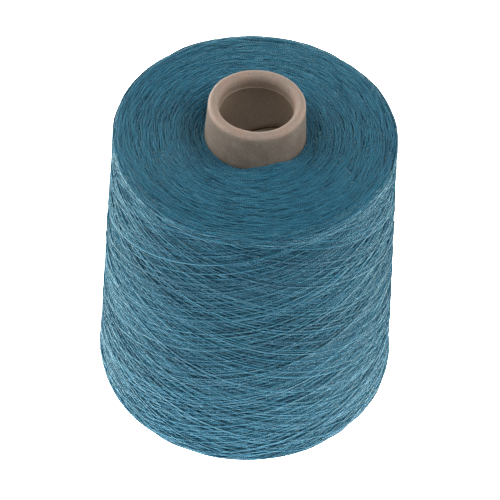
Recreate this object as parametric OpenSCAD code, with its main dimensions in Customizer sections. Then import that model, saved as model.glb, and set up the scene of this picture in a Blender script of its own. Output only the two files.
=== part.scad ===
// A cross-wound cone of fine yarn: a tapered paper cone with a rolled-in nose,
// and the yarn package that is wound on it. Stands on the cone's wide end.
// Origin: centre of the circle that the base rim stands on. +Z runs up the axis to the nose.

/* [Paper cone] */
// Height of the paper cone, from the base rim to the top of the rolled nose
cone_h = 170; // [150:1:230]
// Outer diameter of the paper cone at the base rim
base_d = 66; // [62:0.5:75]
// Outer diameter of the rolled nose at its widest
nose_d = 40.5; // [36:0.5:46]
// Thickness of the rolled paper wall
wall_t = 2.35; // [1.8:0.05:2.6]
// Depth to which the paper is turned in at the nose, below its top
lip_depth = 6.7; // [4.5:0.1:8]
// Radius that breaks the cut edges of the paper
edge_r = 0.3; // [0.1:0.05:0.5]

/* [Yarn package] */
// Bare margin of the paper cone below the yarn
base_margin = 6; // [3:0.5:12]
// Height of the yarn package, which is the traverse of the winding machine
yarn_h = 147.5; // [120:0.5:150]
// Diameter of the yarn package at its lower end
yarn_base_d = 140; // [110:1:180]
// Diameter of the yarn package at its upper end
yarn_top_d = 119; // [95:1:160]
// Rounding of the lower edge of the package
yarn_base_r = 5.5; // [2:0.5:10]
// Rounding of the upper edge of the package
yarn_top_r = 2.5; // [1:0.5:6]

/* [Hidden] */

// Facets of a full turn
turn_fn = 180;
// Facets of a quarter of a small rounding
quarter_fn = 10;

paper_colour = [0.62, 0.55, 0.48];
yarn_colour = [0.17, 0.42, 0.52];

// The rolled nose is a full round, two walls thick
nose_r = wall_t;
nose_centre = [nose_d / 2 - nose_r, cone_h - nose_r];
lip_bore_r = nose_d / 2 - 2 * wall_t;

// Half angle of the cone: its straight side ends where it meets the nose's round
taper = atan((base_d - nose_d) / 2 / (cone_h - nose_r));

// Outer radius of the paper cone at a height
function cone_r(z) = base_d / 2 - z * tan(taper);

// Half angle and outer radius of the yarn package at a height above its lower end
yarn_taper = atan((yarn_base_d - yarn_top_d) / 2 / yarn_h);
function yarn_r(h) = yarn_base_d / 2 - h * tan(yarn_taper);

// Points of an arc round a centre, from one angle to another
function arc(centre, r, from, to, steps = quarter_fn) =
    [for (i = [0 : steps]) let (a = from + (to - from) * i / steps) centre + r * [cos(a), sin(a)]];

// Centre of a fillet that is tangent to a level end face and to the package's sloping side.
// side is +1 for the upper edge and -1 for the lower edge.
function fillet_centre(h, r, side) =
    let (inner_h = h - side * r)
    [yarn_r(inner_h) - r / cos(yarn_taper), base_margin + inner_h];

// Section of the paper cone's wall: up the outside, over the nose, down the lip, back down the inside
module paper_section() {
    inner_top = cone_h - lip_depth;
    inner_offset = wall_t / cos(taper);
    polygon(concat(
        arc([base_d / 2 - edge_r, edge_r], edge_r, -90, taper),
        arc(nose_centre, nose_r, taper, 180, 3 * quarter_fn),
        arc([lip_bore_r + edge_r, inner_top + edge_r], edge_r, 180, 270),
        [[cone_r(inner_top) - inner_offset, inner_top]],
        arc([base_d / 2 - inner_offset + edge_r, edge_r], edge_r, 180 + taper, 270)
    ));
}

// Section of the yarn package, from the paper's outer wall to the package's side
module yarn_section() {
    top_z = base_margin + yarn_h;
    polygon(concat(
        [[cone_r(base_margin), base_margin]],
        arc(fillet_centre(0, yarn_base_r, -1), yarn_base_r, -90, yarn_taper),
        arc(fillet_centre(yarn_h, yarn_top_r, 1), yarn_top_r, yarn_taper, 90),
        [[cone_r(top_z), top_z]]
    ));
}

// The paper cone: one rolled and glued sheet, whose nose is turned in and pressed
module paper_cone() {
    color(paper_colour) rotate_extrude($fn = turn_fn) paper_section();
}

// The yarn package: one strand, cross-wound on the paper cone
module yarn_package() {
    color(yarn_colour) rotate_extrude($fn = turn_fn) yarn_section();
}

paper_cone();
yarn_package();
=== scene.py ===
"""Looks for a cross-wound cone of yarn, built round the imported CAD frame.

The yarn is laid stroke by stroke on a height map of the package's skin, as a winding machine lays it.
Each stroke rests on those below, bridges their gaps under its own tension and turns back near the ends
of the side. The flat ends show the crowns of the inner layers' turning arcs.
Lengths are in millimetres unless a comment says otherwise. Blender's own units are metres.
"""

import math

import bpy
import numpy as np
from mathutils import Matrix, Vector


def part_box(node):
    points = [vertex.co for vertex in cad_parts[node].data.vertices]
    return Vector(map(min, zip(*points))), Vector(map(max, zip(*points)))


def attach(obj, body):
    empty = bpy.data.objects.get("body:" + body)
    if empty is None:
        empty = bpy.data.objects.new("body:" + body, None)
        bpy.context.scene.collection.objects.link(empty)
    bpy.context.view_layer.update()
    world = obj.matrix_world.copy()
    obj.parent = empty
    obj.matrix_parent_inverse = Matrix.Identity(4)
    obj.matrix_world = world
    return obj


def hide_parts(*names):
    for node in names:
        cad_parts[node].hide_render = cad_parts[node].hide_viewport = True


MM = 0.001
TURN = 2 * math.pi
SEED = 7

WHITE = (1, 1, 1, 1)

# Camera: a long lens above the front, rolled a little, so that the cone leans as photographed. Lens and
# sensor are in millimetres, the rest in metres.
LENS_MM = 119.0
SENSOR_MM = 36.0
CLIP_NEAR = 0.05
CLIP_FAR = 20.0
VIEW_POINT = Vector((0.00035, 0, 0.0761))
VIEW_DISTANCE = 0.7522
VIEW_ELEVATION = math.radians(49.47)
VIEW_ROLL = math.radians(3.04)

# Lights: name, place and size in metres, power in watts. All are turned to the middle of the package.
LIGHTS = (
    ("left", (-0.8, 0, 0.25), (0.9, 0.5), 3.3),
    ("right", (0.8, 0, 0.25), (0.9, 0.5), 0.8),
    ("left_back", (-0.6, 0.6, 0.3), (0.7, 0.5), 5.0),
    ("left_high", (-0.6, 0, 0.7), (0.7, 0.5), 3.6),
    ("right_high", (0.6, 0, 0.7), (0.7, 0.5), 5.6),
    ("front_high", (0, -0.5, 0.9), (0.7, 0.5), 1.0),
    ("back", (0, 0.8, 0.3), (1.3, 0.5), 2.6),
)
LIGHT_TARGET = Vector((0, 0, 0.08))

# World: a white ring round the horizon, up to this height of the view direction, and black above it
RING_TOP = 0.14
RING_LEVEL = 2.7

# Floor, in metres: it glows, most of all in a pool round the cone
FLOOR_HALF = 12.0
FLOOR_GREY = (0.8, 0.8, 0.8, 1)
FLOOR_ROUGHNESS = 0.9
FLOOR_GLOW = 0.95
POOL_GLOW = 6.2
POOL_RADIUS = 0.2

# Picture: width of the pixel filter, and the brightest that one bounce may be
PIXEL_FILTER = 1.5
BOUNCE_LIMIT = 3.0

# Strand
STRAND_R = 0.24
STRAND_SIDES = 6
FLATTENING = 0.88
SWELL = 0.08
SWELL_NOISE = 1.6
SWELL_WINDOW = 2
MESH_STEP = 2.5
MAX_TRIANGLES = 170_000

# Winding of the side. A stroke runs from one turning point to the next. A turning point lies past the end
# of the sloping side by a fixed reach, less a scatter.
STROKES = 780
ANGLE_AT_TOP = math.radians(19.3)
ANGLE_AT_BASE = math.radians(15.8)
ANGLE_SPREAD = 0.04
TURNING_LENGTH = 37.0
TURNS_PER_STROKE = 1.155
TURNS_DRIFT = 0.006
TURNS_DRIFT_RATE = 0.021
TURNS_SLIP = 0.009
REACH_AT_TOP = 1.8
SPREAD_AT_TOP = 3.0
REACH_AT_BASE = 3.0
SPREAD_AT_BASE = 3.4
SAMPLE_STEP = 0.5

# Extra turning arcs laid among the strokes, at both edges of the side
EDGE_ARC_HALF = 17.0
EDGE_ARC_BOW = 119.0
EDGE_REACH_AT_TOP = 2.6
EDGE_SPREAD_AT_TOP = 2.2
EDGE_REACH_AT_BASE = 5.0
EDGE_SPREAD_AT_BASE = 2.6

# Crowns of turning arcs on the flat ends: how many there are, how they bow and dive, how unevenly they lie,
# and how far they keep from the ends of the section and of the side
ARCS_PER_MM2 = 0.48
SPAN_POINTS = 200
ARC_BOW = 52.0
ARC_DEPTH = 0.85
ARC_STEP = 1.8
ARC_SKEW = 0.1
ARC_CROWNS = 0.33
ARC_LOWEST_CROWN = 0.7
ARC_SUNK = 0.3
ARC_SWAY = 0.13
ARC_WAVE = 2.4
ARC_RIPPLE = 0.03
ARC_CLEARANCE = 0.3
ARC_PAST_SHOULDER = 0.8
ARC_PAST_LOWER_EDGE = 1.5

# The top face sinks round the nose, where its strands are darkened as painted shade, and heaps up at one
# place, as photographed
COLLAR_WIDTH = 6.5
COLLAR_SINK = 1.8
SUNK_PAINTED_SHADE = 0.65
HEAP_HEIGHT = 3.0
HEAP_AT = math.radians(-68)
HEAP_SPREAD = math.radians(28)

# How strands settle on each other
CONTACT = 0.9
TAUTNESS = 0.5
SOFTENING = 5
HIDDEN_DEPTH = 1.2
RUN_MARGIN = 9
SHORTEST_RUN = 8
PROUD_LIMIT = 0.25
PROUD_SHARE = 0.3
CORE_DEPTH = 1.7
CORE_ROW = 12
CORE_COLUMNS = 180
CORE_PAST_SHOULDER = 2
CORE_PAST_LOWER_EDGE = 4

# Section of the skin. Where its lean differs from the side's by less than a tolerance, it is the side.
SECTION_STEP = 0.1
LEAN_WINDOW = 9
SIDE_TOLERANCE = 0.05

# Height map of the skin: the rows near a strand's centreline that it may cover, and how widely the build-up
# is evened out, in rows and columns. A share below the least share counts as none. The sink is how far the
# even build-up lies under the skin, in strand radii.
MAP_COLUMNS = 820
MAP_ROW = 0.12
ROWS_UNDER = np.arange(-2, 4)
LEAST_SHARE = 0.01
EVEN_ROWS = 40
EVEN_COLUMNS = 12
EVEN_RING_ROWS = 15
EVEN_RING_SHARE = 0.25
EVEN_SINK = 0.5

# Low loops where a strand is slack: turned angle in degrees, height, how far it stands off, half its reach
SLACK_LOOPS = (
    (175, 77, 1.7, 6.5),
    (-6, 112, 0.8, 7.0),
    (38, 58, 0.9, 6.0),
    (105, 96, 1.0, 7.0),
    (-128, 120, 0.7, 6.0),
    (-60, 42, 0.6, 6.0),
)
LAST_WRAPS = 500
BURIED_PENALTY = 6

# Fibres that stand out of the strands
FUZZ_HAIRS = 6400
FUZZ_TOP_SHARE = 4
FUZZ_R = 0.012
FUZZ_LENGTH = 2.4
FUZZ_SIDES = 3
FUZZ_POINTS = 5
# The hairs' light tint is painted sheen of fibres lit at grazing angles
FUZZ_PAINTED_SHEEN_TINT = 0.9
FUZZ_ROOT = 0.7
FUZZ_DEEPEST = 2
FUZZ_SHAPE = 3.0
FUZZ_RISE = (0.15, 0.8)
FUZZ_CURL = 0.35
FUZZ_DROOP = (0.1, 0.6)
FUZZ_THICK_END = 1.15

# Yarn's look. The colour, from dark to light, grows with the strand's dye and towards a ply's crown, and
# falls with depth.
# The darker grooves between the plies and the darker deeper strands are painted shade.
TWIST_PITCH = 0.95
BASE_SHADE = 0.02
TINT_SHADE = 0.6
DEPTH_PAINTED_SHADE = 0.05
PLY_GROOVE_PAINTED_SHADE = 0.32
YARN_DARK = (0.002, 0.051, 0.1, 1)
YARN_LIGHT = (0.027, 0.174, 0.264, 1)
YARN_ROUGHNESS = 0.7
YARN_GLOSS = 0.22
YARN_SHEEN = 1.0
YARN_SHEEN_ROUGHNESS = 0.3
YARN_SHEEN_TINT = (0.7, 1.0, 0.92, 1)
PLY_BUMP = 0.5
PLY_BUMP_DEPTH = 0.12
# The core's colour is the yarn's dye, a little darker than the strands' mean: painted shade of the gaps
CORE_DYE_AND_PAINTED_SHADE = (0.008, 0.094, 0.158, 1)
CORE_ROUGHNESS = 0.9

# Paper cone
PAPER_WALL = 2.35
LIP_DEPTH = 6.7
ROLL_OUTER_R = 1.7
ROLL_SLOPE = 3.6
ROLL_FLAT = 0.4
LIP_STEP = 0.05
LIP_BEAD = 0.1
LIP_LEDGE = 0.6
PAPER_EDGE = 0.25
BASE_PLIES = 6
BASE_GROOVE = 0.1

# Points of the paper's outline. The outside's levels are close together near the base and from below the
# nose's uneven stretch. Where the wall and the rim meet is measured down from the roll, where the lip's bore
# ends up from its cut edge, and where the inside starts down from that edge.
BASE_LEVELS = np.arange(1, 8, 0.6)
MIDDLE_LEVELS = np.arange(10, 150, 7)
NOSE_LEVELS_FROM = 151
NOSE_LEVEL_STEP = 0.8
WALL_ENDS = 1.4
RIM_STARTS = 0.9
ROLL_POINTS = 14
SLOPE_POINTS = 18
LIP_LEVEL_STEP = 0.5
LIP_BORE_ENDS = 0.6
BEAD_POINTS = 7
INSIDE_STARTS = 0.4
INSIDE_EVEN_FROM = 1.2
INSIDE_ENDS = 0.8
INSIDE_LEVEL_STEP = 1.0
POINTS_PER_PLY = 4
PAPER_COLUMNS = 320

# Marks of a point on the paper's outline: how far it belongs to the rolled rim, the inside and a cut edge.
# The rim's paler colour is partly burnished board and partly painted light on the roll's upturned crest.
ON_WALL = (0.0, 0.0, 0.0)
UNDER_RIM = (0.25, 0.0, 0.0)
ON_RIM = (1.0, 0.0, 0.0)
ON_LIP = (0.9, 0.3, 0.0)
# At the lip's cut edge the paler cut colour is also a painted highlight on its bead
ON_LIP_EDGE = (0.5, 0.3, 0.3)
ON_INSIDE = (0.0, 1.0, 0.0)
ON_BASE = (0.0, 0.0, 0.8)

# Step along the inner ply's edge, which winds down the inside through one known place
PLY_STEP = 0.5
PLY_RISE = 66.0
PLY_AT = math.radians(96)
PLY_LEVEL = 132.3
SEAM_SHARE = 0.007

# Unevenness of the nose, over its last stretch: waves round it, their height in millimetres and their phase
UNEVEN_REACH = 12.0
NOSE_WAVES = ((2, 0.09, 1.0), (5, 0.05, 2.0), (11, 0.03, 0.0))
RIM_WAVES = ((3, 0.06, 0.5), (8, 0.035, 0.0))

# Paper's look. Noise scales are in waves per metre.
PAPER_WALL_DARK = (0.139, 0.108, 0.083, 1)
PAPER_WALL_LIGHT = (0.178, 0.147, 0.118, 1)
# Rim colours, paler than the wall: partly burnished board, partly painted light on the upturned roll
PAPER_RIM_WARM = (0.312, 0.22, 0.172, 1)
PAPER_RIM_PALE = (0.279, 0.224, 0.181, 1)
PAPER_INSIDE = (0.255, 0.195, 0.14, 1)
# Cut edges: paler cut board, and at the lip's bead also a painted highlight
PAPER_CUT_AND_HIGHLIGHT = (0.3, 0.235, 0.18, 1)
PAPER_FLECK = (0.04, 0.028, 0.02, 1)
# Painted shadow line along the inner ply's step
PAPER_SEAM_SHADOW = (0.03, 0.014, 0.008, 1)
PAPER_ROUGHNESS = 0.68
RIM_ROUGHNESS = 0.6
PAPER_GLOSS = 0.3
BLOTCH_SCALE = 150.0
BLOTCH_DETAIL = 4.0
GRAIN_SCALE = 1100.0
GRAIN_DETAIL = 3.0
FIBRE_SCALE = 2200.0
FIBRE_DETAIL = 2.0
FIBRE_STRETCH = (1.0, 1.0, 0.22)
WALL_CONTRAST = 2.4
RIM_CONTRAST = 2.5
SPECKLE_CONTRAST = 2.5
GRAIN_SPECKLE = 0.22
FIBRE_SPECKLE = 0.16
GRAIN_RELIEF = 0.6
FIBRE_RELIEF = 0.4
SEAM_SHADOW_STRENGTH = 0.8
PAPER_BUMP = 0.5
PAPER_BUMP_DEPTH = 0.2
FLECK_SCALE = 260.0
FLECK_REACH = 0.075
FLECK_STRENGTH = 0.55

# One dark fibre under the nose's rim, as photographed
FLECK_AT = math.radians(-82.8)
FLECK_DROP = 4.7
FLECK_R = 0.42
ONE_FLECK_STRENGTH = 0.75

# Texture space: tubes lie end to end along strips of this length, and fill this share of a strip's width
STRIP_LENGTH = 540.0
STRIP_GAP = 1.5
STRIP_SHARE = 0.8
STRIP_MARGIN = 0.1


def cad_levels(node):
    """Height, inner radius and outer radius of a round CAD node, at each level that its vertices lie on."""
    points = np.array([v.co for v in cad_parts[node].data.vertices]) / MM
    radii = np.hypot(points[:, 0], points[:, 1])
    heights = points[:, 2].round(2)
    levels = np.unique(heights)
    inner = np.array([radii[heights == z].min() for z in levels])
    outer = np.array([radii[heights == z].max() for z in levels])
    return levels, inner, outer


def in_scene(name, data):
    """A new object with this mesh, light or camera, put in the scene."""
    made = bpy.data.objects.new(name, data)
    bpy.context.scene.collection.objects.link(made)
    return made


def smooth(values, width):
    """Two passes of a running mean, with the ends held."""
    kernel = np.ones(width) / width
    padded = np.pad(values, width, mode="edge")
    return np.convolve(np.convolve(padded, kernel, "same"), kernel, "same")[width:-width]


def blur(image, rows, columns):
    """A running mean over a map, with its ends held and its columns joined round the axis."""
    for _ in range(2):
        padded = np.pad(image, ((rows, rows), (0, 0)), mode="edge")
        total = np.cumsum(np.pad(padded, ((1, 0), (0, 0))), axis=0)
        image = (total[2 * rows + 1 :] - total[: -2 * rows - 1]) / (2 * rows + 1)
        padded = np.pad(image, ((0, 0), (columns, columns)), mode="wrap")
        total = np.cumsum(np.pad(padded, ((0, 0), (1, 0))), axis=1)
        image = (total[:, 2 * columns + 1 :] - total[:, : -2 * columns - 1]) / (2 * columns + 1)
    return image


class Skin:
    """The yarn package's surface, addressed by turned angle and by distance along its section.

    The section runs out along the bottom face, round the lower edge, up the side and in along the top face.
    heights holds how far the wound strands stand above the bare body, in rows along the section and columns
    round the axis. level_off() then finds the evenly built-up part, which relief() takes off again, so that
    the outer strands end at the skin.
    """

    def __init__(self):
        levels, inner, outer = cad_levels("yarn_package")
        outside = outer > inner[0] + (outer[0] - inner[0]) / 2
        radii = np.concatenate([[inner[0]], outer[outside], [inner[-1]]])
        heights = np.concatenate([[levels[0]], levels[outside], [levels[-1]]])
        reach = np.concatenate([[0], np.cumsum(np.hypot(np.diff(radii), np.diff(heights)))])
        self.along = np.arange(0, reach[-1], SECTION_STEP)
        self.radii = np.interp(self.along, reach, radii)
        self.levels = np.interp(self.along, reach, heights)
        lean = np.unwrap(np.arctan2(np.gradient(self.levels), np.gradient(self.radii)))
        padded = np.pad(lean, LEAN_WINDOW // 2, mode="edge")
        self.lean = np.convolve(padded, np.ones(LEAN_WINDOW) / LEAN_WINDOW, "valid")
        self.bend = np.gradient(self.lean, self.along)
        sloping = np.abs(self.lean - np.median(self.lean)) < SIDE_TOLERANCE
        self.side_low = self.along[sloping][0]
        self.side_high = self.along[sloping][-1]
        self.length = reach[-1]
        self.heights = np.zeros((int(self.length / MAP_ROW) + 2, MAP_COLUMNS), np.float32)
        self.even = np.zeros_like(self.heights)

    def radius(self, along):
        return np.interp(along, self.along, self.radii)

    def curvature(self, along, slope):
        """How fast the surface falls away under a straight strand, per millimetre of its length."""
        lean = np.interp(along, self.along, self.lean)
        round_axis = (1 - slope**2) * np.sin(lean) / self.radius(along)
        over_edge = slope**2 * np.interp(along, self.along, self.bend)
        return round_axis + over_edge

    def place(self, angle, along, height):
        """Points at a height above the skin, and the skin's outward normals there."""
        lean = np.interp(along, self.along, self.lean)
        normal_r = np.sin(lean)
        normal_z = -np.cos(lean)
        radius = self.radius(along) + normal_r * height
        level = np.interp(along, self.along, self.levels) + normal_z * height
        points = np.stack([radius * np.cos(angle), radius * np.sin(angle), level], -1)
        normals = np.stack([normal_r * np.cos(angle), normal_r * np.sin(angle), normal_z], -1)
        return points, normals

    def cells(self, angle, along):
        column = np.floor(np.mod(angle, TURN) / TURN * MAP_COLUMNS).astype(int) % MAP_COLUMNS
        row = np.clip((along / MAP_ROW).round().astype(int), 0, len(self.heights) - 1)
        return row, column

    def cells_under(self, angle, along, slope):
        """Map cells under a strand: rows, columns, whether it covers each, and its own half height there."""
        _, column = self.cells(angle, along)
        near = np.floor(along / MAP_ROW).astype(int)[:, None] + ROWS_UNDER
        off = (near - along[:, None] / MAP_ROW) * MAP_ROW * np.sqrt(1 - slope**2)[:, None]
        covered = np.abs(off) < STRAND_R
        crown = np.sqrt(np.clip(STRAND_R**2 - off**2, 0, None))
        rows = np.clip(near, 0, len(self.heights) - 1)
        return rows, np.broadcast_to(column[:, None], rows.shape), covered, crown

    def level_off(self):
        """Finds the even part of the build-up, so that only local relief stands proud of the skin."""
        laid = (self.heights > 0).astype(float)
        share_laid = np.maximum(blur(laid, EVEN_ROWS, EVEN_COLUMNS), LEAST_SHARE)
        wide = blur(self.heights * laid, EVEN_ROWS, EVEN_COLUMNS) / share_laid
        count_laid = np.maximum(smooth(laid.sum(1), EVEN_RING_ROWS), 1)
        ring = smooth(self.heights.sum(1), EVEN_RING_ROWS) / count_laid
        even = (1 - EVEN_RING_SHARE) * wide + EVEN_RING_SHARE * ring[:, None]
        self.even = even + EVEN_SINK * STRAND_R

    def relief(self, strand):
        """A strand's height above the finished skin, and its depth under the finished surface."""
        cells = self.cells(strand["angle"], strand["along"])
        proud = strand["height"] - self.even[cells]
        proud = np.where(proud > PROUD_LIMIT, PROUD_LIMIT + PROUD_SHARE * (proud - PROUD_LIMIT), proud)
        return proud + strand.get("slack", 0.0), self.heights[cells] - strand["height"]


def upper_hull(x, y):
    """The tightest line above the points (x, y) that never turns upwards, as a taut string lies."""
    xs, ys = x.tolist(), y.tolist()
    kept = []
    for i in range(len(xs)):
        while len(kept) > 1:
            a, b = kept[-2], kept[-1]
            if (ys[b] - ys[a]) * (xs[i] - xs[a]) > (ys[i] - ys[a]) * (xs[b] - xs[a]):
                break
            kept.pop()
        kept.append(i)
    return np.interp(x, x[kept], y[kept])


def settle(skin, angle, along, slope, step):
    """Lays a strand on the height map and returns the height of its centreline."""
    rows, columns, covered, crown = skin.cells_under(angle, along, slope)
    below = np.where(covered, skin.heights[rows, columns], 0).sum(1) / covered.sum(1)
    bed = smooth(below + CONTACT * STRAND_R, SOFTENING)
    fall = np.cumsum(np.cumsum(skin.curvature(along, slope))) * step**2
    distance = np.arange(len(along)) * step
    taut = upper_hull(distance, bed - fall) + fall
    height = TAUTNESS * taut + (1 - TAUTNESS) * bed
    top = height[:, None] + crown
    np.maximum.at(skin.heights, (rows[covered], columns[covered]), top[covered].astype(np.float32))
    return height


def stroke(skin, start, end, spread):
    """Distance along the section, slope and turned angle, at equal steps between two turning points."""
    ends = [ANGLE_AT_BASE, ANGLE_AT_TOP] if end > start else [ANGLE_AT_TOP, ANGLE_AT_BASE]
    middle = math.sin(sum(ends) / 2) * spread
    length = abs(end - start) / middle + TURNING_LENGTH
    path = np.linspace(0, length, int(length / SAMPLE_STEP))
    steepness = np.sin(np.interp(path, [0, length], ends)) * spread
    speed = steepness * np.minimum(1, np.minimum(path, length - path) / TURNING_LENGTH)
    along = np.cumsum(speed)
    along = start + (along - along[0]) / (along[-1] - along[0]) * (end - start)
    turned = np.cumsum(np.sqrt(1 - speed**2) / skin.radius(along)) * path[1]
    return along, speed, turned - turned[0], path[1]


def wind_side(skin, rng):
    """Strokes of the cross-wound side, from the first laid to the last."""
    strands = []
    start, angle = skin.side_low, 0.0
    for i in range(STROKES):
        to_base = i % 2 == 1
        if to_base:
            end = skin.side_low - REACH_AT_BASE + abs(rng.normal(0, SPREAD_AT_BASE))
        else:
            end = skin.side_high + REACH_AT_TOP - abs(rng.normal(0, SPREAD_AT_TOP))
        along, slope, turned, step = stroke(skin, start, end, 1 + rng.normal(0, ANGLE_SPREAD))
        drift = TURNS_DRIFT * math.sin(i * TURNS_DRIFT_RATE)
        turns = TURNS_PER_STROKE + drift + rng.normal(0, TURNS_SLIP)
        turned *= turns * TURN / turned[-1]
        height = settle(skin, angle + turned, along, slope, step)
        strands.append({"angle": angle + turned, "along": along, "height": height, "tint": rng.random()})
        strands.append(edge_arc(skin, to_base, rng))
        start, angle = end, angle + turned[-1]
    return strands


def edge_arc(skin, at_base, rng):
    """A turning arc whose crown lies at the edge of the side."""
    path = np.arange(-EDGE_ARC_HALF, EDGE_ARC_HALF, SAMPLE_STEP)
    bow = path**2 / (2 * EDGE_ARC_BOW)
    if at_base:
        along = skin.side_low - EDGE_REACH_AT_BASE + abs(rng.normal(0, EDGE_SPREAD_AT_BASE)) + bow
    else:
        along = skin.side_high + EDGE_REACH_AT_TOP - abs(rng.normal(0, EDGE_SPREAD_AT_TOP)) - bow
    angle = rng.random() * TURN + path / skin.radius(along)
    height = settle(skin, angle, along, path / EDGE_ARC_BOW, SAMPLE_STEP)
    return {"angle": angle, "along": along, "height": height, "tint": rng.random()}


def slacken(skin, strands, angle, level, lift, reach):
    """Lets the outermost strand at a place on the side stand off in a low loop."""
    best, found, at = math.inf, None, 0
    for strand in strands:
        _, depth = skin.relief(strand)
        turned = (strand["angle"] - angle + math.pi) % TURN - math.pi
        radius = skin.radius(strand["along"])
        rise = np.interp(strand["along"], skin.along, skin.levels) - level
        miss = np.hypot(turned * radius, rise) + BURIED_PENALTY * np.abs(depth)
        if miss.min() < best:
            best, found, at = miss.min(), strand, int(miss.argmin())
    path = (np.arange(len(found["angle"])) - at) * SAMPLE_STEP
    found["slack"] = lift * np.exp(-((path / reach) ** 2))


def collar(skin, angle, radius):
    """How far the top face stands above its flat level, close round the nose."""
    nearness = np.exp(-(((radius - skin.radius(skin.length)) / COLLAR_WIDTH) ** 2))
    from_heap = (angle - HEAP_AT + math.pi) % TURN - math.pi
    return nearness * (HEAP_HEIGHT * np.exp(-((from_heap / HEAP_SPREAD) ** 2)) - COLLAR_SINK)


def face_arcs(skin, low, high, rng):
    """Crowns of turning arcs over a flat end, each diving under its neighbours on both sides."""
    span = np.linspace(low, high, SPAN_POINTS)
    weight = np.cumsum(skin.radius(span))
    area = TURN * skin.radius(span).mean() * (high - low)
    strands = []
    for _ in range(int(ARCS_PER_MM2 * area)):
        middle = np.interp(rng.random() * weight[-1], weight, span)
        crown = -min(abs(rng.normal(0, ARC_CROWNS)), ARC_LOWEST_CROWN * ARC_DEPTH) - ARC_SUNK * STRAND_R
        half = math.sqrt(2 * ARC_BOW * (ARC_DEPTH + crown))
        path = np.linspace(-half, half, int(2 * half / ARC_STEP) + 1)
        along = middle + rng.normal(0, ARC_SKEW) * path
        along = along + rng.normal(0, ARC_SWAY) * np.sin(path / ARC_WAVE + rng.random() * TURN)
        along = np.clip(along, low, high)
        angle = rng.random() * TURN + path / skin.radius(middle)
        height = crown - path**2 / (2 * ARC_BOW) + rng.normal(0, ARC_RIPPLE, len(path))
        depth = -height
        tint = rng.random()
        if low > skin.side_low:
            lift = collar(skin, angle, skin.radius(along))
            height = height + lift
            # Painted shade: arcs over the sunken ring round the nose are darkened
            tint *= 1 - SUNK_PAINTED_SHADE * max(0.0, -lift.mean() / COLLAR_SINK)
        strands.append({"angle": angle, "along": along, "height": height, "depth": depth, "tint": tint})
    return strands


def visible_runs(depth):
    """Index ranges of a strand that lie near enough to the finished surface to be seen."""
    near = smooth((depth < HIDDEN_DEPTH).astype(float), RUN_MARGIN) > LEAST_SHARE
    edges = np.flatnonzero(np.diff(np.concatenate([[0], near.astype(int), [0]])))
    return [(a, b) for a, b in zip(edges[::2], edges[1::2]) if b - a > SHORTEST_RUN]


def tube_rings(points, normals, half_width, half_height, sides):
    """Rings of vertices round a centreline, as an array of rings by sides by coordinates."""
    tangents = np.gradient(points, axis=0)
    tangents /= np.linalg.norm(tangents, axis=1)[:, None]
    across = np.cross(normals, tangents)
    across /= np.linalg.norm(across, axis=1)[:, None]
    up = np.cross(tangents, across)
    turn = np.arange(sides) * TURN / sides
    wide = across[:, None] * np.cos(turn)[None, :, None] * np.reshape(half_width, (-1, 1, 1))
    tall = up[:, None] * np.sin(turn)[None, :, None] * np.reshape(half_height, (-1, 1, 1))
    return points[:, None] + wide + tall


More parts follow.
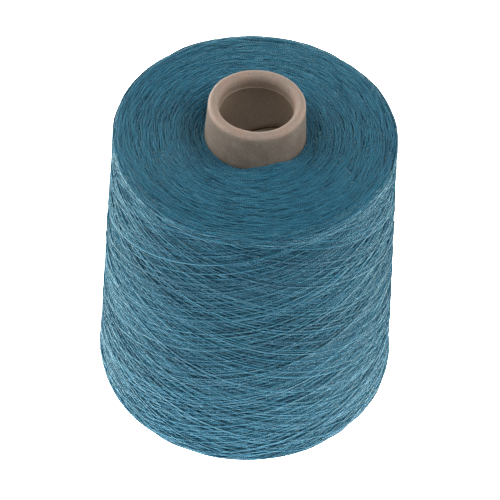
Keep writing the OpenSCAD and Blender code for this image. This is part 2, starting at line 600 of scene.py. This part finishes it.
class TubeMesh:
    """Collects capped tubes and makes one Blender mesh of them.

    Each tube has its own stretch of a strip in the OFBake layer. The twist layer counts millimetres along
    the tube and turns round it. One attribute varies the dye, and the depth attribute darkens deeper strands
    as painted shade.
    """

    def __init__(self, sides=STRAND_SIDES):
        self.sides = sides
        self.tubes = []
        self.rings = 0
        self.strip, self.filled = 0, 0.0

    def add(self, rings, tint, depth):
        steps = np.linalg.norm(np.diff(rings.mean(1), axis=0), axis=1)
        reach = np.concatenate([[0], np.cumsum(steps)])
        if self.filled + reach[-1] > STRIP_LENGTH:
            self.strip, self.filled = self.strip + 1, 0.0
        tube = {"start": self.rings, "rings": rings, "tint": tint, "depth": depth}
        self.tubes.append(tube | {"strip": self.strip, "offset": self.filled, "reach": reach})
        self.filled += reach[-1] + STRIP_GAP
        self.rings += len(rings)

    def triangles(self):
        return self.rings * self.sides * 2

    def to_strip(self, twist, tube):
        """Places millimetres along a tube and turns round it in the OFBake layer."""
        start = (tube["offset"], tube["strip"] + STRIP_MARGIN)
        return (twist * (1, STRIP_SHARE) + start) / (STRIP_LENGTH, self.strip + 1)

    def layout(self):
        """Corner indices, face sizes and both texture layers of all tubes, side faces first."""
        sides = self.sides
        corner = np.arange(sides)
        after = (corner + 1) % sides
        around = corner / sides
        quads, caps, bake, twist, cap_bake = [], [], [], [], []
        for tube in self.tubes:
            start, reach = tube["start"], tube["reach"]
            last = start + len(reach) - 1
            first = np.arange(start, last)[:, None] * sides
            beyond = first + sides
            quads.append(np.stack([first + corner, first + after, beyond + after, beyond + corner], -1))
            near, low = np.meshgrid(reach[:-1], around, indexing="ij")
            far, high = np.broadcast_to(reach[1:, None], near.shape), low + 1 / sides
            twist.append(np.stack([near, low, near, high, far, high, far, low], -1).reshape(-1, 2))
            bake.append(self.to_strip(twist[-1], tube))
            caps += [start * sides + corner[::-1], last * sides + corner]
            for end, turned in ((0, around[::-1]), (reach[-1], around)):
                cap = np.stack([np.full(sides, end), turned], -1)
                cap_bake.append(self.to_strip(cap, tube))
        quads = np.concatenate([q.reshape(-1, 4) for q in quads])
        loops = np.concatenate([quads.ravel(), np.concatenate(caps)])
        sizes = np.concatenate([np.full(len(quads), 4), np.full(len(caps), sides)])
        cap_twist = np.zeros((len(caps) * sides, 2))
        bake = np.concatenate([*bake, *cap_bake])
        twist = np.concatenate([*twist, cap_twist])
        return loops, sizes, len(quads), bake, twist

    def build(self, name, material):
        loops, sizes, quads, bake, twist = self.layout()
        points = np.concatenate([tube["rings"] for tube in self.tubes]).reshape(-1, 3) * MM
        mesh = bpy.data.meshes.new(name)
        mesh.vertices.add(len(points))
        mesh.vertices.foreach_set("co", points.astype(np.float32).ravel())
        mesh.loops.add(len(loops))
        mesh.loops.foreach_set("vertex_index", loops.astype(np.int32))
        mesh.polygons.add(len(sizes))
        starts = np.concatenate([[0], np.cumsum(sizes)[:-1]])
        mesh.polygons.foreach_set("loop_start", starts.astype(np.int32))
        mesh.polygons.foreach_set("use_smooth", np.arange(len(sizes)) < quads)
        for layer, values in (("OFBake", bake), ("twist", twist)):
            mesh.uv_layers.new(name=layer).uv.foreach_set("vector", values.astype(np.float32).ravel())
        for layer in ("tint", "depth"):
            values = [np.broadcast_to(tube[layer], len(tube["rings"])) for tube in self.tubes]
            attribute = mesh.attributes.new(layer, "FLOAT", "POINT")
            values = np.repeat(np.concatenate(values), self.sides)
            attribute.data.foreach_set("value", values.astype(np.float32))
        mesh.update(calc_edges=True)
        mesh.materials.append(material)
        return in_scene(name, mesh)


def side_runs(skin, strands):
    """Every visible run of the side's strands: the strand, its samples there, and its heights and depths."""
    every = int(MESH_STEP / SAMPLE_STEP)
    for strand in strands:
        height, depth = skin.relief(strand)
        for first, last in visible_runs(depth):
            index = np.arange(first, last, every)
            if len(index) > 2:
                yield strand, index, height, depth


def arc_runs(strands):
    """The turning arcs of a flat end, each a run of its own."""
    for strand in strands:
        yield strand, np.arange(len(strand["angle"])), strand["height"], strand["depth"]


def strand_pieces(name, skin, runs, material, rng):
    """Tubes along runs of strands, a little thicker and thinner in places, in pieces of a moderate size."""
    pieces, tubes = [], TubeMesh()
    for strand, index, height, depth in runs:
        swell = 1 + SWELL * smooth(rng.normal(0, SWELL_NOISE, len(index)), SWELL_WINDOW)
        points, normals = skin.place(strand["angle"][index], strand["along"][index], height[index])
        rings = tube_rings(points, normals, STRAND_R * swell, STRAND_R * FLATTENING * swell, STRAND_SIDES)
        tubes.add(rings, strand["tint"], depth[index])
        if tubes.triangles() > MAX_TRIANGLES:
            pieces.append(tubes.build(f"{name}_{len(pieces) + 1}", material))
            tubes = TubeMesh()
    pieces.append(tubes.build(f"{name}_{len(pieces) + 1}", material))
    return pieces


def lathe(name, section, columns, material, offset=None, marks=None):
    """A closed solid of revolution, from an outline that runs clockwise in (radius, height).

    offset(angle, section) may move each column's section by (radius, height). marks are named values of the
    section's points, kept as vertex attributes.
    """
    angles = np.arange(columns) / columns * TURN
    radius = np.repeat(section[:, 0][None], columns, 0)
    level = np.repeat(section[:, 1][None], columns, 0)
    if offset is not None:
        more_radius, more_level = offset(angles[:, None], section)
        radius, level = radius + more_radius, level + more_level
    points = np.stack([radius * np.cos(angles)[:, None], radius * np.sin(angles)[:, None], level], -1)
    count = len(section)
    here = np.arange(columns)[:, None] * count
    there = (np.arange(columns)[:, None] + 1) % columns * count
    up, up_next = np.arange(count), (np.arange(count) + 1) % count
    quads = np.stack([here + up, there + up, there + up_next, here + up_next], -1).reshape(-1, 4)
    mesh = bpy.data.meshes.new(name)
    mesh.from_pydata((points.reshape(-1, 3) * MM).tolist(), [], quads.tolist())
    mesh.shade_smooth()
    for key, values in (marks or {}).items():
        attribute = mesh.attributes.new(key, "FLOAT", "POINT")
        attribute.data.foreach_set("value", np.tile(values, columns).astype(np.float32))
    mesh.materials.append(material)
    return in_scene(name, mesh)


def yarn_core(skin, material):
    """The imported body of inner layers, just under the laid strands."""
    rows = np.arange(0, len(skin.along), CORE_ROW)
    _, normals = skin.place(0, skin.along[rows], 0)
    section = np.stack([skin.radii[rows], skin.levels[rows]], -1)
    on_bottom = skin.along[rows] < skin.side_low - CORE_PAST_LOWER_EDGE
    on_top = skin.along[rows] > skin.side_high + CORE_PAST_SHOULDER
    depth = np.where(on_bottom | on_top, ARC_DEPTH, CORE_DEPTH)[:, None]
    section = section - depth * normals[:, [0, 2]]
    near_top = section[:, 1] > skin.levels[-1] - CORE_PAST_SHOULDER

    def follow_collar(angles, section):
        return 0.0, np.where(near_top, collar(skin, angles, section[:, 0]), 0.0)

    return lathe("yarn_core", section, CORE_COLUMNS, material, offset=follow_collar)


def fuzz_piece(name, skin, strands, count, material, rng):
    """Loose fibre ends that stand out of the outer strands."""
    tubes = TubeMesh(FUZZ_SIDES)
    steps = np.linspace(0, 1, FUZZ_POINTS)
    while len(tubes.tubes) < count:
        strand = strands[rng.integers(len(strands))]
        at = rng.integers(len(strand["angle"]))
        if "depth" in strand:
            height, depth = strand["height"], strand["depth"]
        else:
            height, depth = skin.relief(strand)
        if depth[at] > FUZZ_DEEPEST * STRAND_R:
            continue
        root = height[at] + STRAND_R * FUZZ_ROOT
        point, normal = skin.place(strand["angle"][at], strand["along"][at], root)
        sideways = np.cross(normal, rng.normal(size=3))
        sideways /= np.linalg.norm(sideways)
        length = FUZZ_LENGTH * rng.gamma(FUZZ_SHAPE, 1 / FUZZ_SHAPE)
        out = normal * rng.uniform(*FUZZ_RISE)
        curl = np.cross(normal, sideways) * rng.normal(0, FUZZ_CURL) - normal * rng.uniform(*FUZZ_DROOP)
        points = point + length * (steps[:, None] * (sideways + out) + steps[:, None] ** 2 * curl)
        taper = FUZZ_R * (FUZZ_THICK_END - steps)
        rings = tube_rings(points, np.broadcast_to(normal, points.shape), taper, taper, FUZZ_SIDES)
        # Painted sheen: every hair takes the same light tint
        tubes.add(rings, FUZZ_PAINTED_SHEEN_TINT, 0.0)
    return tubes.build(name, material)


def new_material(name):
    material = bpy.data.materials.new(name)
    material.use_nodes = True
    tree = material.node_tree
    tree.nodes.clear()
    output = tree.nodes.new("ShaderNodeOutputMaterial")
    shader = tree.nodes.new("ShaderNodeBsdfPrincipled")
    tree.links.new(shader.outputs["BSDF"], output.inputs["Surface"])
    return material, tree, shader


class Nodes:
    """Short names for the shader nodes used here."""

    def __init__(self, tree):
        self.tree = tree

    def link(self, value, socket):
        if hasattr(value, "is_output"):
            self.tree.links.new(value, socket)
        else:
            socket.default_value = value

    def math(self, operation, a, b=0.0, c=0.0, clamp=False):
        made = self.tree.nodes.new("ShaderNodeMath")
        made.operation = operation
        made.use_clamp = clamp
        for value, socket in zip((a, b, c), made.inputs):
            self.link(value, socket)
        return made.outputs[0]

    def mix(self, factor, a, b):
        made = self.tree.nodes.new("ShaderNodeMix")
        made.data_type = "RGBA"
        self.link(factor, made.inputs["Factor"])
        self.link(a, made.inputs["A"])
        self.link(b, made.inputs["B"])
        return made.outputs["Result"]

    def attribute(self, name):
        made = self.tree.nodes.new("ShaderNodeAttribute")
        made.attribute_name = name
        return made.outputs["Fac"]

    def spread(self, value, contrast):
        """Widens the values of a noise about a half, and keeps them between 0 and 1."""
        return self.math("MULTIPLY_ADD", value, contrast, 0.5 - contrast / 2, clamp=True)

    def nearness(self, distance, reach):
        """1 within half the reach, falling to 0 at the reach."""
        return self.math("MULTIPLY_ADD", distance, -2 / reach, 2.0, clamp=True)

    def speckle(self, value, amount):
        """A factor round one that follows a noise, darker and lighter by half the amount."""
        return self.math("MULTIPLY_ADD", self.spread(value, SPECKLE_CONTRAST), amount, 1 - amount / 2)

    def stretched(self, vector, scale):
        made = self.tree.nodes.new("ShaderNodeMapping")
        made.inputs["Scale"].default_value = scale
        self.link(vector, made.inputs["Vector"])
        return made.outputs["Vector"]

    def scaled(self, color, factor):
        made = self.tree.nodes.new("ShaderNodeVectorMath")
        made.operation = "SCALE"
        self.link(color, made.inputs[0])
        self.link(factor, made.inputs["Scale"])
        return made.outputs["Vector"]

    def noise(self, vector, scale, detail):
        made = self.tree.nodes.new("ShaderNodeTexNoise")
        made.inputs["Scale"].default_value = scale
        made.inputs["Detail"].default_value = detail
        self.link(vector, made.inputs["Vector"])
        return made.outputs["Fac"]

    def bump(self, height, strength, distance):
        made = self.tree.nodes.new("ShaderNodeBump")
        made.inputs["Strength"].default_value = strength
        made.inputs["Distance"].default_value = distance
        self.link(height, made.inputs["Height"])
        return made.outputs["Normal"]


def yarn_material():
    """Two plies twisted together, with grooves between them darkened as painted shade, dye that varies by
    strand, painted shade on deeper strands, and sheen.
    """
    material, tree, shader = new_material("yarn")
    nodes = Nodes(tree)
    twist = tree.nodes.new("ShaderNodeUVMap")
    twist.uv_map = "twist"
    parts = tree.nodes.new("ShaderNodeSeparateXYZ")
    tree.links.new(twist.outputs["UV"], parts.inputs["Vector"])
    along = nodes.math("DIVIDE", parts.outputs["X"], TWIST_PITCH)
    around = nodes.math("MULTIPLY", parts.outputs["Y"], 2.0)
    phase = nodes.math("MULTIPLY", nodes.math("ADD", along, around), math.pi)
    ply = nodes.math("ABSOLUTE", nodes.math("SINE", phase))
    # This attribute is the strand's dye, with painted shade on the sunken top arcs and painted sheen on the
    # fuzz
    shade = nodes.math("MULTIPLY_ADD", nodes.attribute("tint"), TINT_SHADE, BASE_SHADE)
    # Painted shade: strands lying deeper under the surface are darkened
    shade = nodes.math("MULTIPLY_ADD", nodes.attribute("depth"), -DEPTH_PAINTED_SHADE, shade)
    # Painted shade: the grooves between the plies are darker, their crowns lighter
    shade = nodes.math("MULTIPLY_ADD", ply, PLY_GROOVE_PAINTED_SHADE, shade, clamp=True)
    tree.links.new(nodes.mix(shade, YARN_DARK, YARN_LIGHT), shader.inputs["Base Color"])
    tree.links.new(nodes.bump(ply, PLY_BUMP, PLY_BUMP_DEPTH * MM), shader.inputs["Normal"])
    shader.inputs["Roughness"].default_value = YARN_ROUGHNESS
    shader.inputs["Specular IOR Level"].default_value = YARN_GLOSS
    shader.inputs["Sheen Weight"].default_value = YARN_SHEEN
    shader.inputs["Sheen Roughness"].default_value = YARN_SHEEN_ROUGHNESS
    shader.inputs["Sheen Tint"].default_value = YARN_SHEEN_TINT
    return material


def core_material():
    """Dark, close-packed yarn seen only through the gaps; its colour is the yarn's dye made darker as
    painted shade.
    """
    material, _, shader = new_material("yarn_core")
    shader.inputs["Base Color"].default_value = CORE_DYE_AND_PAINTED_SHADE
    shader.inputs["Roughness"].default_value = CORE_ROUGHNESS
    return material


def paper_material():
    """Pulp board: blotches, short fibres and flecks, paler where the nose is rolled over, partly as burnish
    and partly as painted light.
    """
    material, tree, shader = new_material("paper")
    nodes = Nodes(tree)
    place = tree.nodes.new("ShaderNodeTexCoord").outputs["Object"]
    blotch = nodes.noise(place, BLOTCH_SCALE, BLOTCH_DETAIL)
    grain = nodes.noise(place, GRAIN_SCALE, GRAIN_DETAIL)
    fibres = nodes.noise(nodes.stretched(place, FIBRE_STRETCH), FIBRE_SCALE, FIBRE_DETAIL)
    wall = nodes.mix(nodes.spread(blotch, WALL_CONTRAST), PAPER_WALL_DARK, PAPER_WALL_LIGHT)
    rim = nodes.mix(nodes.spread(blotch, RIM_CONTRAST), PAPER_RIM_WARM, PAPER_RIM_PALE)
    # Partly painted light: the rolled rim is paler than the wall
    color = nodes.mix(nodes.attribute("rim"), wall, rim)
    color = nodes.mix(nodes.attribute("inside"), color, PAPER_INSIDE)
    # Cut board, and at the lip's bead a painted highlight
    color = nodes.mix(nodes.attribute("cut"), color, PAPER_CUT_AND_HIGHLIGHT)
    color = nodes.scaled(color, nodes.speckle(grain, GRAIN_SPECKLE))
    color = nodes.scaled(color, nodes.speckle(fibres, FIBRE_SPECKLE))
    # Painted shadow: a dark line along the inner ply's edge, on the inside only
    seam_shadow = nodes.math("MULTIPLY", ply_seam_shadow(nodes, place), nodes.attribute("inside"))
    color = nodes.mix(nodes.math("MULTIPLY", seam_shadow, SEAM_SHADOW_STRENGTH), color, PAPER_SEAM_SHADOW)
    many = nodes.math("MULTIPLY", flecks(nodes, place), FLECK_STRENGTH)
    color = nodes.mix(many, color, PAPER_FLECK)
    one = nodes.math("MULTIPLY", one_fleck(nodes, place), ONE_FLECK_STRENGTH)
    color = nodes.mix(one, color, PAPER_FLECK)
    tree.links.new(color, shader.inputs["Base Color"])
    relief = nodes.math("MULTIPLY_ADD", grain, GRAIN_RELIEF, nodes.math("MULTIPLY", fibres, FIBRE_RELIEF))
    tree.links.new(nodes.bump(relief, PAPER_BUMP, PAPER_BUMP_DEPTH * MM), shader.inputs["Normal"])
    burnished = RIM_ROUGHNESS - PAPER_ROUGHNESS
    roughness = nodes.math("MULTIPLY_ADD", nodes.attribute("rim"), burnished, PAPER_ROUGHNESS)
    tree.links.new(roughness, shader.inputs["Roughness"])
    shader.inputs["Specular IOR Level"].default_value = PAPER_GLOSS
    return material


def flecks(nodes, place):
    """Small dark dots, scattered through the board."""
    cells = nodes.tree.nodes.new("ShaderNodeTexVoronoi")
    cells.inputs["Scale"].default_value = FLECK_SCALE
    nodes.link(place, cells.inputs["Vector"])
    return nodes.math("LESS_THAN", cells.outputs["Distance"], FLECK_REACH)


def one_fleck(nodes, place):
    """A dark fibre in the board just under the nose's rim."""
    _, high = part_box("paper_cone")
    _, inner, _ = cad_levels("paper_cone")
    radius = (inner.min() + 2 * PAPER_WALL) * MM
    away = nodes.tree.nodes.new("ShaderNodeVectorMath")
    away.operation = "DISTANCE"
    nodes.link(place, away.inputs[0])
    spot = (radius * math.cos(FLECK_AT), radius * math.sin(FLECK_AT), high.z - FLECK_DROP * MM)
    away.inputs[1].default_value = spot
    return nodes.nearness(away.outputs["Value"], MM * FLECK_R)


def ply_seam_shadow(nodes, place):
    """The thin shadow line along the inner ply's edge, on the same winding line as the step in the mesh."""
    parts = nodes.tree.nodes.new("ShaderNodeSeparateXYZ")
    nodes.link(place, parts.inputs["Vector"])
    angle = nodes.math("ARCTAN2", parts.outputs["Y"], parts.outputs["X"])
    turned = nodes.math("MULTIPLY_ADD", angle, -1 / TURN, PLY_AT / TURN + PLY_LEVEL / PLY_RISE)
    ply = nodes.math("FRACT", nodes.math("MULTIPLY_ADD", parts.outputs["Z"], -1 / (MM * PLY_RISE), turned))
    off = nodes.math("MINIMUM", ply, nodes.math("SUBTRACT", 1.0, ply))
    return nodes.nearness(off, SEAM_SHARE)


def paper_outside(wall_r, shoulder):
    """Points up the outside of the cone, each with its marks."""
    nose_levels = np.arange(NOSE_LEVELS_FROM, shoulder - WALL_ENDS, NOSE_LEVEL_STEP)
    levels = [PAPER_EDGE, *BASE_LEVELS, *MIDDLE_LEVELS, *nose_levels]
    rim_starts = shoulder - RIM_STARTS
    return [(wall_r(z), z, *ON_WALL) for z in levels] + [(wall_r(rim_starts), rim_starts, *UNDER_RIM)]


def paper_nose(crest_r, lip_r, height):
    """Points over the rolled nose: round its outer quarter, then down its long inner slope."""
    points = []
    for turn in np.linspace(0, math.pi / 2, ROLL_POINTS):
        out, up = ROLL_OUTER_R * math.cos(turn), ROLL_OUTER_R * math.sin(turn)
        points.append((crest_r + out, height - ROLL_OUTER_R + up, *ON_RIM))
    slope_r = crest_r - ROLL_FLAT
    for turn in np.linspace(0, math.pi / 2, SLOPE_POINTS):
        down = ROLL_SLOPE * (1 - math.cos(turn))
        points.append((slope_r - (slope_r - lip_r) * math.sin(turn), height - down, *ON_RIM))
    return points


def paper_lip(lip_r, lip_z, height):
    """Points down the lip's straight bore and round its cut edge."""
    first = height - ROLL_SLOPE - LIP_LEVEL_STEP
    levels = np.arange(first, lip_z + LIP_BORE_ENDS, -LIP_LEVEL_STEP)
    points = [(lip_r, z, *ON_LIP) for z in levels]
    for turn in np.linspace(0, math.pi, BEAD_POINTS):
        in_from_bore, up = LIP_BEAD * math.sin(turn), LIP_BEAD * math.cos(turn)
        points.append((lip_r - in_from_bore, lip_z + up, *ON_LIP_EDGE))
    return points


def paper_inside(wall_r, lip_z):
    """Points from behind the lip down the inside of the cone."""
    levels = [lip_z - INSIDE_STARTS, *np.arange(lip_z - INSIDE_EVEN_FROM, INSIDE_ENDS, -INSIDE_LEVEL_STEP)]
    ledge = (wall_r(lip_z) - PAPER_WALL - LIP_LEDGE, lip_z, *ON_INSIDE)
    return [ledge] + [(wall_r(z) - PAPER_WALL, z, *ON_INSIDE) for z in levels]


def paper_base(base_r):
    """Points out along the base's cut edge, with shallow grooves between its plies."""
    first_r, width = base_r - PAPER_WALL + PAPER_EDGE, PAPER_WALL - 2 * PAPER_EDGE
    points = []
    for step in np.linspace(0, 1, POINTS_PER_PLY * BASE_PLIES + 1):
        groove = BASE_GROOVE * (1 - math.cos(step * BASE_PLIES * TURN)) / 2
        points.append((first_r + width * step, groove, *ON_BASE))
    return points


def paper_section(base_r, nose_r, height):
    """Outline of the paper cone's wall, and marks for its rolled rim, its inside and its cut edges.

    It is put together up the outside, over the nose, down the lip, down the inside and out along the base,
    and returned the other way round.
    """
    taper = (base_r - nose_r) / (height - PAPER_WALL)
    shoulder = height - ROLL_OUTER_R
    lip_r, lip_z = nose_r - 2 * PAPER_WALL, height - LIP_DEPTH

    def wall_r(z):
        return base_r - taper * z

    points = paper_outside(wall_r, shoulder)
    points += paper_nose(wall_r(shoulder) - ROLL_OUTER_R, lip_r, height)
    points += paper_lip(lip_r + LIP_STEP, lip_z, height)
    points += paper_inside(wall_r, lip_z)
    points += paper_base(base_r)
    points = np.array(points)[::-1]
    return points[:, :2], dict(zip(("rim", "inside", "cut"), points[:, 2:].T))


def waves(angles, table):
    """A sum of waves round the axis, from rows of their number, height and phase."""
    return sum(height * np.sin(number * angles + phase) for number, height, phase in table)


def paper_cone(material):
    """The cone's wall. Its inner ply ends in a step that winds down inside. Its nose is a little uneven."""
    _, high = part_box("paper_cone")
    _, inner, _ = cad_levels("paper_cone")
    base_r, height = high.x / MM, high.z / MM
    section, marks = paper_section(base_r, inner.min() + 2 * PAPER_WALL, height)
    within = marks["inside"] == 1.0

    def offset(angles, section):
        level = section[:, 1]
        ply = np.mod((PLY_AT - angles) / TURN + (PLY_LEVEL - level) / PLY_RISE, 1.0)
        step = PLY_STEP * np.where(ply < 1 - 2 * SEAM_SHARE, ply, (1 - ply) / (2 * SEAM_SHARE))
        near_nose = np.clip((level - height + UNEVEN_REACH) / UNEVEN_REACH, 0, 1)
        outwards = waves(angles, NOSE_WAVES) * near_nose - np.where(within, PLY_STEP - step, 0.0)
        return outwards, waves(angles, RIM_WAVES) * near_nose

    return lathe("paper_cone_wall", section, PAPER_COLUMNS, material, offset=offset, marks=marks)


def add_camera():
    camera = bpy.data.cameras.new("camera")
    camera.lens = LENS_MM
    camera.sensor_width = SENSOR_MM
    camera.clip_start = CLIP_NEAR
    camera.clip_end = CLIP_FAR
    holder = in_scene("camera", camera)
    back = Vector((0, -math.cos(VIEW_ELEVATION), math.sin(VIEW_ELEVATION)))
    turn = (-back).to_track_quat("-Z", "Y").to_matrix() @ Matrix.Rotation(VIEW_ROLL, 3, "Z")
    holder.location = VIEW_POINT + back * VIEW_DISTANCE
    holder.rotation_mode = "QUATERNION"
    holder.rotation_quaternion = turn.to_quaternion()
    bpy.context.scene.camera = holder


def add_area_light(name, place, size, watts):
    light = bpy.data.lights.new(name, "AREA")
    light.shape = "RECTANGLE"
    light.size, light.size_y = size
    light.energy = watts
    holder = in_scene(name, light)
    holder.location = place
    holder.rotation_mode = "QUATERNION"
    holder.rotation_quaternion = (LIGHT_TARGET - Vector(place)).to_track_quat("-Z", "Y")
    holder.visible_camera = False


def add_world():
    """A white ring round the horizon, which is the backdrop and a soft light, under a black sky."""
    world = bpy.data.worlds.new("studio")
    bpy.context.scene.world = world
    world.use_nodes = True
    tree = world.node_tree
    nodes = Nodes(tree)
    direction = tree.nodes.new("ShaderNodeTexCoord")
    parts = tree.nodes.new("ShaderNodeSeparateXYZ")
    tree.links.new(direction.outputs["Generated"], parts.inputs["Vector"])
    above = nodes.math("GREATER_THAN", parts.outputs["Z"], RING_TOP)
    level = nodes.math("MULTIPLY_ADD", above, -RING_LEVEL, RING_LEVEL)
    background = tree.nodes["Background"]
    background.inputs["Color"].default_value = WHITE
    tree.links.new(level, background.inputs["Strength"])


def floor_material():
    """White, with a glow that is strongest round the cone."""
    material, tree, shader = new_material("floor")
    nodes = Nodes(tree)
    shader.inputs["Base Color"].default_value = FLOOR_GREY
    shader.inputs["Roughness"].default_value = FLOOR_ROUGHNESS
    shader.inputs["Emission Color"].default_value = WHITE
    away = tree.nodes.new("ShaderNodeVectorMath")
    away.operation = "LENGTH"
    nodes.link(tree.nodes.new("ShaderNodeTexCoord").outputs["Object"], away.inputs[0])
    near = nodes.math("DIVIDE", away.outputs["Value"], POOL_RADIUS)
    near = nodes.math("EXPONENT", nodes.math("MULTIPLY", nodes.math("MULTIPLY", near, near), -1.0))
    glow = nodes.math("MULTIPLY_ADD", near, POOL_GLOW, FLOOR_GLOW)
    tree.links.new(glow, shader.inputs["Emission Strength"])
    material.cycles.emission_sampling = "NONE"
    return material


def add_floor():
    mesh = bpy.data.meshes.new("floor")
    corners = [(x * FLOOR_HALF, y * FLOOR_HALF, 0) for x, y in ((-1, -1), (1, -1), (1, 1), (-1, 1))]
    mesh.from_pydata(corners, [], [(0, 1, 2, 3)])
    mesh.materials.append(floor_material())
    in_scene("floor", mesh)


def add_stage():
    """World, lights and floor, and how the picture is developed."""
    add_world()
    for name, place, size, watts in LIGHTS:
        add_area_light(name, place, size, watts)
    add_floor()
    scene = bpy.context.scene
    scene.view_settings.view_transform = "Standard"
    scene.cycles.denoising_prefilter = "NONE"
    scene.cycles.filter_width = PIXEL_FILTER
    scene.cycles.sample_clamp_indirect = BOUNCE_LIMIT


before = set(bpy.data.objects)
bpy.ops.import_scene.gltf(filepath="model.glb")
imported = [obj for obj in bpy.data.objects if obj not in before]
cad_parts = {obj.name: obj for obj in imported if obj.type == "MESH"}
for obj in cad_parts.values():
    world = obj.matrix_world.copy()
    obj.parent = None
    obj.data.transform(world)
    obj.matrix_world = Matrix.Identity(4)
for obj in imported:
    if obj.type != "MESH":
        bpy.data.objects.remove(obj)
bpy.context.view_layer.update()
add_camera()
add_stage()

rng = np.random.default_rng(SEED)
skin = Skin()
yarn = yarn_material()
wraps = wind_side(skin, rng)
skin.level_off()
for angle, level, lift, reach in SLACK_LOOPS:
    slacken(skin, wraps[-LAST_WRAPS:], math.radians(angle), level, lift, reach)
pieces = strand_pieces("yarn_wraps", skin, side_runs(skin, wraps), yarn, rng)
top_arcs = face_arcs(skin, skin.side_high + ARC_PAST_SHOULDER, skin.length - ARC_CLEARANCE, rng)
bottom_arcs = face_arcs(skin, ARC_CLEARANCE, skin.side_low - ARC_PAST_LOWER_EDGE, rng)
pieces += strand_pieces("yarn_top_arcs", skin, arc_runs(top_arcs), yarn, rng)
pieces += strand_pieces("yarn_bottom_arcs", skin, arc_runs(bottom_arcs), yarn, rng)
pieces.append(fuzz_piece("yarn_fuzz_side", skin, wraps, FUZZ_HAIRS, yarn, rng))
pieces.append(fuzz_piece("yarn_fuzz_top", skin, top_arcs, FUZZ_HAIRS // FUZZ_TOP_SHARE, yarn, rng))
core = yarn_core(skin, core_material())
pieces.append(core)
for piece in pieces:
    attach(piece, "root")
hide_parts("yarn_package")

cone = paper_cone(paper_material())
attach(cone, "root")
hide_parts("paper_cone")
